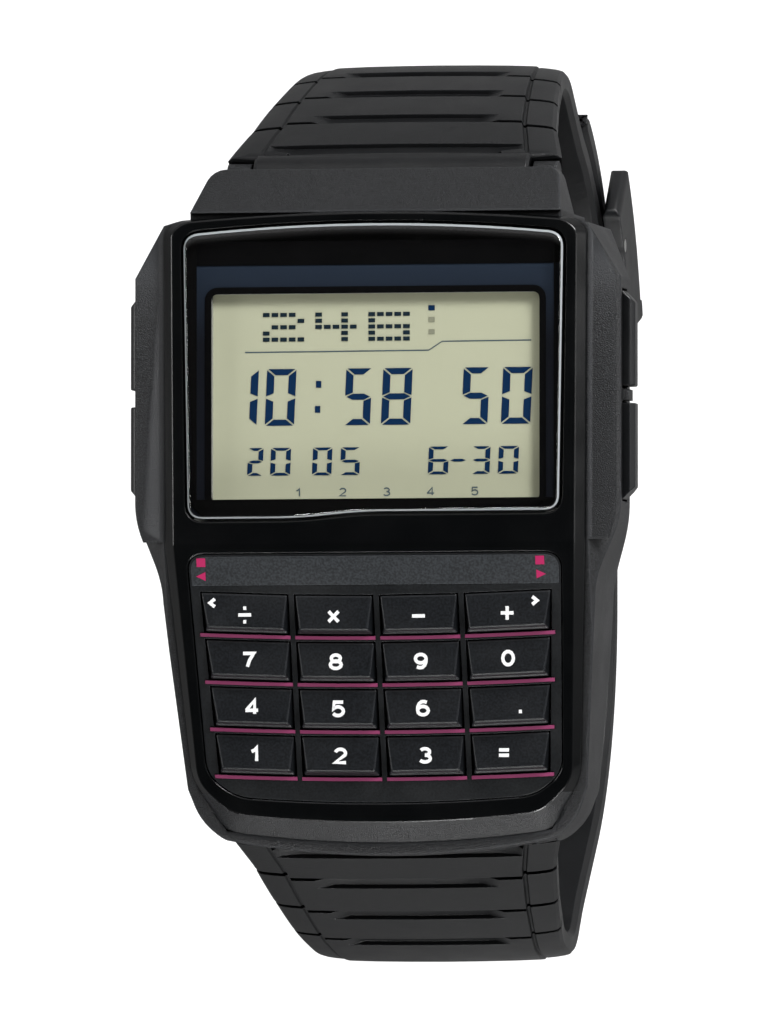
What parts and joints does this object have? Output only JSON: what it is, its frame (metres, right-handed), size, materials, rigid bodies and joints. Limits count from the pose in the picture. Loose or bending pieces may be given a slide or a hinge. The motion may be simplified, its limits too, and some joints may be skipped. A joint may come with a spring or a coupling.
{
  "type": "calculator watch",
  "caption": "Digital wristwatch with a clear window over its display, a sloping calculator keypad, side push buttons and a buckled resin strap.",
  "frame": {"origin": "on the flat lowest face of the closed strap, straight below the centre of the dial", "axes": "+Z out of the dial, +Y towards 12 o'clock, +X towards 3 o'clock"},
  "size_m": [0.038, 0.0668, 0.0559],
  "materials": {
    "case_resin": "fine matte grain",
    "bezel_resin": "satin",
    "crystal_clear": "gloss",
    "gasket_rubber": "matte",
    "display_glass": "satin",
    "holder_plastic": "matte",
    "connector_rubber": "matte",
    "light_film": "satin",
    "board_laminate": "satin",
    "chip_resin": "matte",
    "frame_plastic": "matte",
    "cell_steel": "brushed",
    "spring_brass": "satin",
    "panel_print": "satin print",
    "mat_rubber": "matte",
    "back_steel": "brushed",
    "strap_resin": "fine matte grain",
    "pin_steel": "satin",
    "buckle_resin": "satin",
    "key_resin": "fine matte grain",
    "button_resin": "satin"
  },
  "bodies": {
    "watch": {"case_body": "case_resin", "front_bezel": "bezel_resin", "crystal": "crystal_clear", "crystal_gasket": "gasket_rubber", "back_gasket": "gasket_rubber", "button_seals": "gasket_rubber", "display_panel": "display_glass", "display_holder": "holder_plastic", "connector_strips": "connector_rubber", "light_panel": "light_film", "circuit_board": "board_laminate", "key_board": "board_laminate", "chip_package": "chip_resin", "module_frame": "frame_plastic", "battery": "cell_steel", "battery_clip": "cell_steel", "buzzer_disc": "spring_brass", "contact_springs": "spring_brass", "key_panel": "panel_print", "key_mat": "mat_rubber", "case_back": "back_steel", "back_screws": "back_steel", "strap_upper": "strap_resin", "strap_lower": "strap_resin", "lug_bar_upper": "pin_steel", "lug_bar_lower": "pin_steel", "buckle_bar": "pin_steel"},
    "key_11": {"key_11": "key_resin"},
    "key_12": {"key_12": "key_resin"},
    "key_13": {"key_13": "key_resin"},
    "key_14": {"key_14": "key_resin"},
    "key_21": {"key_21": "key_resin"},
    "key_22": {"key_22": "key_resin"},
    "key_23": {"key_23": "key_resin"},
    "key_24": {"key_24": "key_resin"},
    "key_31": {"key_31": "key_resin"},
    "key_32": {"key_32": "key_resin"},
    "key_33": {"key_33": "key_resin"},
    "key_34": {"key_34": "key_resin"},
    "key_41": {"key_41": "key_resin"},
    "key_42": {"key_42": "key_resin"},
    "key_43": {"key_43": "key_resin"},
    "key_44": {"key_44": "key_resin"},
    "button_right_upper": {"button_right_upper": "button_resin"},
    "button_right_lower": {"button_right_lower": "button_resin"},
    "button_left_upper": {"button_left_upper": "button_resin"},
    "button_left_lower": {"button_left_lower": "button_resin"},
    "buckle_frame": {"buckle_frame": "buckle_resin"},
    "buckle_tang": {"buckle_tang": "pin_steel"}
  },
  "joints": [
    {"name": "key_11_press", "type": "slide", "parent": "watch", "child": "key_11", "axis": [0, 0.2714, -0.9625], "range_m": [0, 0.0004], "stiffness_N_per_m": 500},
    {"name": "key_12_press", "type": "slide", "parent": "watch", "child": "key_12", "axis": [0, 0.2714, -0.9625], "range_m": [0, 0.0004], "stiffness_N_per_m": 500},
    {"name": "key_13_press", "type": "slide", "parent": "watch", "child": "key_13", "axis": [0, 0.2714, -0.9625], "range_m": [0, 0.0004], "stiffness_N_per_m": 500},
    {"name": "key_14_press", "type": "slide", "parent": "watch", "child": "key_14", "axis": [0, 0.2714, -0.9625], "range_m": [0, 0.0004], "stiffness_N_per_m": 500},
    {"name": "key_21_press", "type": "slide", "parent": "watch", "child": "key_21", "axis": [0, 0.2714, -0.9625], "range_m": [0, 0.0004], "stiffness_N_per_m": 500},
    {"name": "key_22_press", "type": "slide", "parent": "watch", "child": "key_22", "axis": [0, 0.2714, -0.9625], "range_m": [0, 0.0004], "stiffness_N_per_m": 500},
    {"name": "key_23_press", "type": "slide", "parent": "watch", "child": "key_23", "axis": [0, 0.2714, -0.9625], "range_m": [0, 0.0004], "stiffness_N_per_m": 500},
    {"name": "key_24_press", "type": "slide", "parent": "watch", "child": "key_24", "axis": [0, 0.2714, -0.9625], "range_m": [0, 0.0004], "stiffness_N_per_m": 500},
    {"name": "key_31_press", "type": "slide", "parent": "watch", "child": "key_31", "axis": [0, 0.2714, -0.9625], "range_m": [0, 0.0004], "stiffness_N_per_m": 500},
    {"name": "key_32_press", "type": "slide", "parent": "watch", "child": "key_32", "axis": [0, 0.2714, -0.9625], "range_m": [0, 0.0004], "stiffness_N_per_m": 500},
    {"name": "key_33_press", "type": "slide", "parent": "watch", "child": "key_33", "axis": [0, 0.2714, -0.9625], "range_m": [0, 0.0004], "stiffness_N_per_m": 500},
    {"name": "key_34_press", "type": "slide", "parent": "watch", "child": "key_34", "axis": [0, 0.2714, -0.9625], "range_m": [0, 0.0004], "stiffness_N_per_m": 500},
    {"name": "key_41_press", "type": "slide", "parent": "watch", "child": "key_41", "axis": [0, 0.2714, -0.9625], "range_m": [0, 0.0004], "stiffness_N_per_m": 500},
    {"name": "key_42_press", "type": "slide", "parent": "watch", "child": "key_42", "axis": [0, 0.2714, -0.9625], "range_m": [0, 0.0004], "stiffness_N_per_m": 500},
    {"name": "key_43_press", "type": "slide", "parent": "watch", "child": "key_43", "axis": [0, 0.2714, -0.9625], "range_m": [0, 0.0004], "stiffness_N_per_m": 500},
    {"name": "key_44_press", "type": "slide", "parent": "watch", "child": "key_44", "axis": [0, 0.2714, -0.9625], "range_m": [0, 0.0004], "stiffness_N_per_m": 500},
    {"name": "button_right_upper_press", "type": "slide", "parent": "watch", "child": "button_right_upper", "axis": [-1, 0, 0], "range_m": [0, 0.0008], "stiffness_N_per_m": 600},
    {"name": "button_right_lower_press", "type": "slide", "parent": "watch", "child": "button_right_lower", "axis": [-1, 0, 0], "range_m": [0, 0.0008], "stiffness_N_per_m": 600},
    {"name": "button_left_upper_press", "type": "slide", "parent": "watch", "child": "button_left_upper", "axis": [1, 0, 0], "range_m": [0, 0.0008], "stiffness_N_per_m": 600},
    {"name": "button_left_lower_press", "type": "slide", "parent": "watch", "child": "button_left_lower", "axis": [1, 0, 0], "range_m": [0, 0.0008], "stiffness_N_per_m": 600},
    {"name": "buckle_hinge", "type": "hinge", "parent": "watch", "child": "buckle_frame", "pos_m": [0, 0.02361, 0.00728], "axis": [1, 0, 0], "range_deg": [0, 12]},
    {"name": "tang_hinge", "type": "hinge", "parent": "buckle_frame", "child": "buckle_tang", "pos_m": [0, 0.02361, 0.00728], "axis": [1, 0, 0], "range_deg": [0, 3]}
  ]
}
